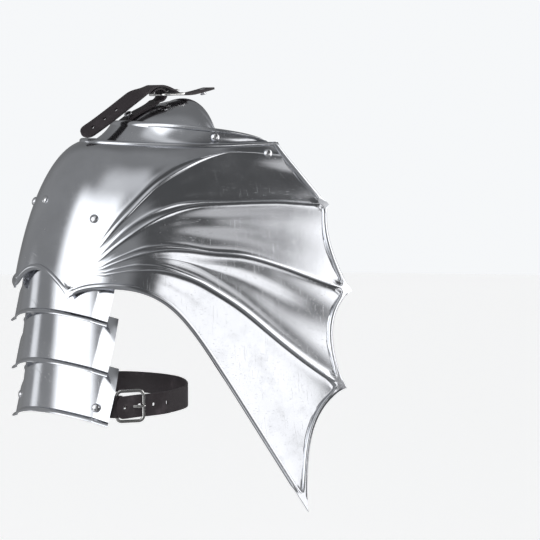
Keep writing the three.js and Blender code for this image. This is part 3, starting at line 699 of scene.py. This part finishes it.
def domed_rivet(node):
    centre, axis, head, seat, tail = rivet_seat(node)
    seat -= RIVET_SUNK
    angles = np.radians(np.linspace(0, 90, 9))
    dome = [(head * math.cos(a), seat + 0.25 + DOME_SHARE * head * math.sin(a)) for a in angles]
    dome[-1] = (0.0, dome[-1][1])
    top = tail + TAIL_THICKNESS
    profile = [(0.0, tail), (TAIL_RADIUS - 0.6, tail), (TAIL_RADIUS, tail + 0.5), (TAIL_RADIUS, top)]
    profile += [(SHANK_RADIUS, top), (SHANK_RADIUS, seat), (head, seat), *dome]
    bm = bmesh.new()
    vertices = [bm.verts.new((radius, 0.0, height)) for radius, height in profile]
    edges = [bm.edges.new(pair) for pair in zip(vertices, vertices[1:])]
    bmesh.ops.spin(
        bm, geom=vertices + edges, axis=(0, 0, 1), cent=(0, 0, 0),
        angle=2 * math.pi, steps=28, use_merge=True,
    )
    bmesh.ops.remove_doubles(bm, verts=bm.verts, dist=0.01)
    bmesh.ops.recalc_face_normals(bm, faces=bm.faces)
    turn = Vector((0, 0, 1)).rotation_difference(Vector(axis)).to_matrix().to_4x4()
    bmesh.ops.transform(bm, matrix=Matrix.Translation(Vector(centre)) @ turn, verts=bm.verts)
    return new_piece(f"{node}_domed", bm, RIVET_STEEL, [node])


# ---- Leather ----
def leather_band(name, path, width, place, replaced, holes=(), tip=0.0, thickness=LEATHER):
    """A strap along a path. place(along, across) puts it in space, tip rounds its far end."""
    length = path[0][-1]
    columns, rows = int(length / 1.1), int(width / 1.1)
    bm, column, row = flat_grid(columns, rows)
    along = length * column / columns
    across = width * (row / rows - 0.5)
    if tip:
        to_end = np.clip((length - along) / tip, 0, 1)
        across = across * np.sqrt(np.clip(1 - (1 - to_end) ** 2.4, 0.02, 1))
    keep = np.ones(len(along), dtype=bool)
    for centre, radius in holes:
        distance = np.hypot(along - centre, across)
        keep &= distance > 0.8 * radius
        near = (distance > 0.8 * radius) & (distance < radius + 0.8)
        pull = np.where(near, radius / np.maximum(distance, 1e-6), 1.0)
        along = centre + (along - centre) * pull
        across = across * pull
    points = place(along, across)
    move(bm, points)
    doomed = [vertex for vertex, kept in zip(bm.verts, keep) if not kept]
    bmesh.ops.delete(bm, geom=doomed, context="VERTS")
    bm.normal_update()
    bmesh.ops.solidify(bm, geom=bm.faces, thickness=thickness)
    bmesh.ops.recalc_face_normals(bm, faces=bm.faces)
    piece = new_piece(name, bm, LEATHER_FINISH, replaced, sharp=50.0)
    return soften(piece, 0.45, limit=55.0)


def on_path(path, along):
    """The point and the side direction at a distance along a flat path."""
    lengths, points = path
    headings = unit(np.gradient(points, axis=0))
    point = np.stack([np.interp(along, lengths, column) for column in points.T], axis=-1)
    heading = np.stack([np.interp(along, lengths, column) for column in headings.T], axis=-1)
    return point, unit(heading)


SUSPENSION_PATH = [
    (122, 66), (108, 62.6), (96, 60.2), (86, 59.7), (79, 60.4), (72, 64), (64, 67.1),
    (57, 68), (50, 66.2), (31, 54), (8, 38.4), (-12, 25.4), (-28, 16),
]
CHAPE_PATH = [
    (18.2, 36.4), (25.7, 41.1), (33.8, 45.5), (42.5, 49.4), (50, 53.2), (55, 56.6),
    (59, 57.7), (61.7, 61.2), (59, 64.7), (54, 64.8), (48.5, 61),
]
PUNCHED = 1.7              # radius of a punched hole
TONGUE_HOLE = 2.4          # radius of the one that the tongue is in
TWIST = math.radians(22)   # how the free end of the shoulder strap turns and lifts
TWIST_START = 52.0
TWIST_RUN = 24.0
TWIST_LIFT = 3.0


def upright_place(path, half=0.5 * LEATHER, twisted=False):
    """Puts a strap in the upright plane through X, its outer face half a thickness out."""
    def place(along, across):
        point, heading = on_path(path, along)
        x = point[:, 0] + heading[:, 1] * half
        z = point[:, 1] - heading[:, 0] * half
        y = across
        if twisted:
            share = ease((TWIST_START - x) / TWIST_RUN)
            z = z + y * np.sin(TWIST * share) + TWIST_LIFT * share
            y = y * np.cos(TWIST * share)
        return np.stack([x, y, z], axis=-1)
    return place


def suspension():
    strap_path = spline(SUSPENSION_PATH, 260)
    length = strap_path[0][-1]
    holes = [(length - 15 - 16 * k, PUNCHED) for k in range(3)] + [(54.5, TONGUE_HOLE)]
    leather_band(
        "shoulder_strap", strap_path, STRAP_WIDTH, upright_place(strap_path, twisted=True),
        ["suspension_strap"], holes=holes, tip=10.0,
    )
    chape_path = spline(CHAPE_PATH, 200)
    leather_band(
        "shoulder_chape", chape_path, STRAP_WIDTH - 1, upright_place(chape_path), ["suspension_chape"],
    )


ARM_STRAP_HEIGHT = -242.0
ARM_BUCKLE_DEGREES = 72.0
ARM_BUCKLE_RADIUS = 84.0
ARM_CHAPE_PATH = [
    (42, 82.9), (48, 82.9), (54, 82.6), (60, 82), (65, 82.1), (68.1, 85.2), (66, 89.1),
    (63, 89.3), (60.8, 88),
]
ARM_STRAP_PATH = [
    (-23, 83.6), (-30, 83.6), (-50, 83.2), (-62, 82), (-90, 79), (-135, 77), (-180, 77),
    (-225, 78.5), (-255, 81.5), (-271, 83), (-279, 83.3), (-284, 85), (-290, 89.4),
    (-293, 91.4), (-296, 92.9),
]


def round_arm(points, count):
    flat = [tuple(on_circle(radius, degrees, 0.0)[:2]) for degrees, radius in points]
    return spline(flat, count)


def band_place(path, side, half=0.5 * LEATHER):
    def place(along, across):
        point, heading = on_path(path, along)
        x = point[:, 0] + side * heading[:, 1] * half
        y = point[:, 1] - side * heading[:, 0] * half
        return np.stack([x, y, across + ARM_STRAP_HEIGHT], axis=-1)
    return place


def arm_strap():
    strap_path = round_arm(ARM_STRAP_PATH, 420)
    length = strap_path[0][-1]
    holes = [(length - back, PUNCHED) for back in (9, 42, 58)]
    holes.insert(1, (length - 26, TONGUE_HOLE))
    leather_band(
        "upper_arm_strap", strap_path, STRAP_WIDTH, band_place(strap_path, -1), ["arm_strap"],
        holes=holes, tip=7.0,
    )
    chape_path = round_arm(ARM_CHAPE_PATH, 200)
    leather_band("upper_arm_chape", chape_path, STRAP_WIDTH - 1, band_place(chape_path, 1), ["arm_chape"])


# ---- Buckles ----
FRAME_LENGTH = 30.0
FRAME_WIDTH = 33.0
FRAME_BAR = 3.2
FRAME_THICKNESS = 2.6


def buckle_outline(corner):
    """The middle line of the frame's bar, as a rounded oblong in its own plane."""
    half = FRAME_BAR / 2
    x0, x1 = -FRAME_BAR + half, FRAME_LENGTH - FRAME_BAR - half
    y1 = FRAME_WIDTH / 2 - half
    points = []
    corners = [(x1, y1, 0), (x0, y1, 90), (x0, -y1, 180), (x1, -y1, 270)]
    for x, y, start in corners:
        cx, cy = x - math.copysign(corner, x - (x0 + x1) / 2), y - math.copysign(corner, y)
        for degrees in np.linspace(start, start + 90, 9):
            angle = math.radians(degrees)
            points.append((cx + corner * math.cos(angle), cy + corner * math.sin(angle)))
    return np.array(points)


def buckle_frame(name, matrix, replaced):
    outline = buckle_outline(5.0)
    ring = np.vstack([outline, outline[:1]])
    sections = 14
    bm, column, row = flat_grid(len(ring) - 1, sections)
    before = ring[(column - 1) % (len(ring) - 1)]
    after = ring[(column + 1) % (len(ring) - 1)]
    heading = unit(after - before)
    side = np.stack([heading[:, 1], -heading[:, 0]], axis=-1)
    angle = 2 * np.pi * row / sections
    out = FRAME_BAR / 2 * np.sign(np.cos(angle)) * np.abs(np.cos(angle)) ** 0.7
    up = FRAME_THICKNESS / 2 * (1 + np.sign(np.sin(angle)) * np.abs(np.sin(angle)) ** 0.7)
    flat = ring[column] + side * out[:, None]
    move(bm, np.column_stack([flat, up]))
    bmesh.ops.remove_doubles(bm, verts=bm.verts, dist=0.01)
    bmesh.ops.recalc_face_normals(bm, faces=bm.faces)
    bmesh.ops.transform(bm, matrix=matrix, verts=bm.verts)
    return new_piece(name, bm, NICKEL, [replaced])


FAR_END = FRAME_LENGTH - 2 * FRAME_BAR
TONGUE_PATH = [(4.2, 1.2), (9, 2.4), (15, 4.6), (FAR_END, 5.4), (FAR_END + 3.2, 4.6)]


def buckle_tongue(name, matrix, replaced):
    """A bar that tapers to a blunt point on the frame."""
    path = spline(TONGUE_PATH, 80)
    length = path[0][-1]
    columns, sections = 30, 12
    bm, column, row = flat_grid(columns, sections)
    along = length * column / columns
    point, heading = on_path(path, along)
    angle = 2 * np.pi * row / sections
    taper = np.interp(along / length, [0, 0.02, 0.06, 0.6, 0.94, 1.0], [0.25, 0.7, 1.0, 0.92, 0.62, 0.2])
    across = 1.6 * taper * np.cos(angle)
    up = 1.0 * taper * np.sin(angle)
    x = point[:, 0] - heading[:, 1] * up
    z = point[:, 1] + heading[:, 0] * up
    move(bm, np.column_stack([x, across, z]))
    bmesh.ops.remove_doubles(bm, verts=bm.verts, dist=0.01)
    rims = [edge for edge in bm.edges if edge.is_boundary]
    bmesh.ops.holes_fill(bm, edges=rims)
    bmesh.ops.recalc_face_normals(bm, faces=bm.faces)
    bmesh.ops.transform(bm, matrix=matrix, verts=bm.verts)
    return new_piece(name, bm, NICKEL, [replaced])


def buckles():
    top = Matrix.Translation((59, 0, 60)) @ Matrix.Rotation(math.radians(-3), 4, "Y")
    buckle_frame("shoulder_buckle", top, "suspension_buckle")
    buckle_tongue("shoulder_buckle_tongue", top, "suspension_tongue")
    angle = math.radians(ARM_BUCKLE_DEGREES)
    seat = on_circle(ARM_BUCKLE_RADIUS, ARM_BUCKLE_DEGREES - 6, ARM_STRAP_HEIGHT)
    along = Vector((math.sin(angle), -math.cos(angle), 0))
    outward = Vector((-math.cos(angle), -math.sin(angle), 0))
    turn = Matrix((along, Vector((0, 0, 1)), outward)).transposed().to_4x4()
    arm = Matrix.Translation(Vector(seat)) @ turn
    buckle_frame("upper_arm_buckle", arm, "arm_buckle")
    buckle_tongue("upper_arm_buckle_tongue", arm, "arm_tongue")


# ---- Camera, stage and light ----
AZIMUTH = math.radians(-35)
ELEVATION = math.radians(5.2)
AIM = np.array([236.0, 25.0, -130.0])
DISTANCE = 2010.0
FOCAL_SHARE = 3.3833333    # focal length over the sensor's width
SIDE_SHIFT = -0.0277778
SENSOR = 36.0


def look_from():
    return np.array([
        math.sin(AZIMUTH) * math.cos(ELEVATION),
        -math.cos(AZIMUTH) * math.cos(ELEVATION),
        math.sin(ELEVATION),
    ])


def add_camera():
    data = bpy.data.cameras.new("camera")
    data.sensor_width = SENSOR
    data.lens = FOCAL_SHARE * SENSOR
    data.shift_x = SIDE_SHIFT
    data.clip_end = 100.0
    camera = bpy.data.objects.new("camera", data)
    bpy.context.scene.collection.objects.link(camera)
    camera.location = Vector((AIM + DISTANCE * look_from()) / METRE)
    camera.rotation_euler = Vector(-look_from()).to_track_quat("-Z", "Y").to_euler()
    bpy.context.scene.camera = camera


FLOOR_DROP = 0.95
FLOOR_RADIUS = 9.0
FLOOR_GLOW = 0.55

# The studio round the armour, as soft panels: the middle and half the size in degrees of bearing
# (from the way the wearer faces, towards the neck), the same of height, softness, and brightness.
PANELS = [
    ((60, 60), (30, 40), 14, 0.20),      # dim side towards the neck
    ((151, 42), (4, 54), 9, 0.10),       # dark screen behind the wearer
    ((97, 15), (36, 12), 7, 1.5),        # small panel high on the neck side
    ((228, 34), (50, 13), 11, 0.80),     # high panel over the main one
    ((255, 28), (14, 24), 8, 2.1),       # main panel, on the outer side
    ((232, 9), (-27, 11), 7, 0.07),      # dark floor board under it
    ((268, 18), (-33, 12), 8, 1.2),      # white floor board beside it
    ((323, 7), (-2, 9), 4, 1.2),         # narrow strip light on the outer side
]
ROOM = 0.30                # brightness of the rest of the room
PLAIN_BACKDROP = 0.95      # what stands behind the armour


def add_floor():
    bm = bmesh.new()
    bmesh.ops.create_circle(bm, cap_ends=True, radius=FLOOR_RADIUS, segments=64)
    bmesh.ops.translate(bm, vec=(0.0, 0.0, -FLOOR_DROP), verts=bm.verts)
    mesh = bpy.data.meshes.new("floor")
    bm.to_mesh(mesh)
    bm.free()
    floor = bpy.data.objects.new("floor", mesh)
    bpy.context.scene.collection.objects.link(floor)
    paint = Finish("pale floor", Base_Color=(0.86, 0.86, 0.86, 1.0), Roughness=0.9)
    paint.to_shader(Emission_Color=(1.0, 1.0, 1.0, 1.0), Emission_Strength=FLOOR_GLOW)
    mesh.materials.append(paint.material)
    floor.visible_glossy = False


def add_studio():
    world = bpy.data.worlds.new("studio")
    bpy.context.scene.world = world
    studio = Nodes(world)
    heading = studio.node("ShaderNodeTexCoord", output=0)
    x, y, z = (studio.node("ShaderNodeSeparateXYZ", sockets={0: heading}, output=axis) for axis in range(3))
    bearing = x.maths("ARCTAN2", x, y)
    height = z.maths("ARCSINE", z) * math.degrees(1)
    light = ROOM + 0.0 * height
    for (bearing_middle, bearing_half), (height_middle, height_half), soft, brightness in PANELS:
        turned = bearing - math.radians(bearing_middle)
        aside = turned.maths("ARCCOSINE", turned.maths("COSINE", turned)) * math.degrees(1)
        above = height.maths("ABSOLUTE", height - height_middle)
        inside = (1 - aside.over(bearing_half - soft, bearing_half + soft))
        inside = inside * (1 - above.over(height_half - soft, height_half + soft))
        light = light + (brightness - light) * inside
    seen = studio.node("ShaderNodeLightPath", output=0)
    light = light + (PLAIN_BACKDROP - light) * seen
    background = studio.tree.nodes["Background"]
    background.inputs["Color"].default_value = (0.97, 0.985, 1.0, 1.0)
    studio.feed(background.inputs["Strength"], light)
    bpy.context.scene.view_settings.view_transform = "Standard"


# White boards near the wing, which light its lower and inner panels. They stand in one plane, each
# a millimetre behind the last, and are measured from the point that the middle of two places on
# the wing faces. Each has its left edge, bottom, width, height, the fade of its edges and its glow.
FACED = (Vector((31, -108, -151)), Vector((122, -95, 3)))
BOARD_WAY = Vector((0.46, -0.86, 0.20)).normalized()
BOARD_AWAY = 450.0
BOARDS = [
    (0, -150, 640, 1000, 90, 2.0),
    (-150, -350, 200, 230, 60, 1.6),
    (-190, -80, 200, 170, 70, 0.7),
]


def add_board(number, left, bottom, width, tall, fade, glow):
    low, high = FACED
    up = (high - low).normalized()
    up = (up - BOARD_WAY * up.dot(BOARD_WAY)).normalized()
    right = BOARD_WAY.cross(up)
    right = right if right.x > 0 else -right
    middle = (low + high) / 2 + BOARD_WAY * (BOARD_AWAY + number)
    middle += right * (left + width / 2) + up * (bottom + tall / 2)
    turn = Matrix((right * width, up * tall, -BOARD_WAY)).transposed().to_4x4()
    bm, _, _ = flat_grid(1, 1)
    bmesh.ops.transform(bm, matrix=Matrix.Translation(middle) @ turn, verts=bm.verts)
    bmesh.ops.scale(bm, vec=(1 / METRE,) * 3, verts=bm.verts)
    name = f"white board {number}"
    mesh = bpy.data.meshes.new(name)
    bm.to_mesh(mesh)
    bm.free()
    board = bpy.data.objects.new(name, mesh)
    bpy.context.scene.collection.objects.link(board)
    paint = Finish(name, Base_Color=(0.0, 0.0, 0.0, 1.0), Emission_Strength=glow)
    flat = paint.node("ShaderNodeTexCoord", output=2)
    across, along = (
        paint.node("ShaderNodeSeparateXYZ", sockets={0: flat}, output=axis) for axis in range(2)
    )
    shown = across.over(0.0, fade / width) * along.over(0.0, fade / tall)
    shown = shown * (1 - along).over(0.0, fade / tall)
    paint.to_shader(Emission_Color=(1.0, 1.0, 1.0, 1.0), Alpha=shown)
    mesh.materials.append(paint.material)
    board.visible_camera = False
    board.visible_shadow = False


add_camera()
add_floor()
add_studio()
for number, board in enumerate(BOARDS):
    add_board(number, *board)
main_plate()
neck_lame("neck_lame_outer", LAME_2, 0.9, "upper_lame_2")
neck_lame("neck_lame_inner", LAME_1, 1.2, "upper_lame_1")
for number in (1, 2, 3):
    arm_lame(number)
suspension()
arm_strap()
buckles()
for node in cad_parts:
    hidden = node.startswith("lame_") and "pivot" not in node
    if "rivet" in node and not hidden:
        domed_rivet(node)
    elif "rivet" in node:
        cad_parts[node].data.materials[0] = RIVET_STEEL
    elif node.startswith("lame_leather"):
        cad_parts[node].data.materials[0] = LEATHER_FINISH
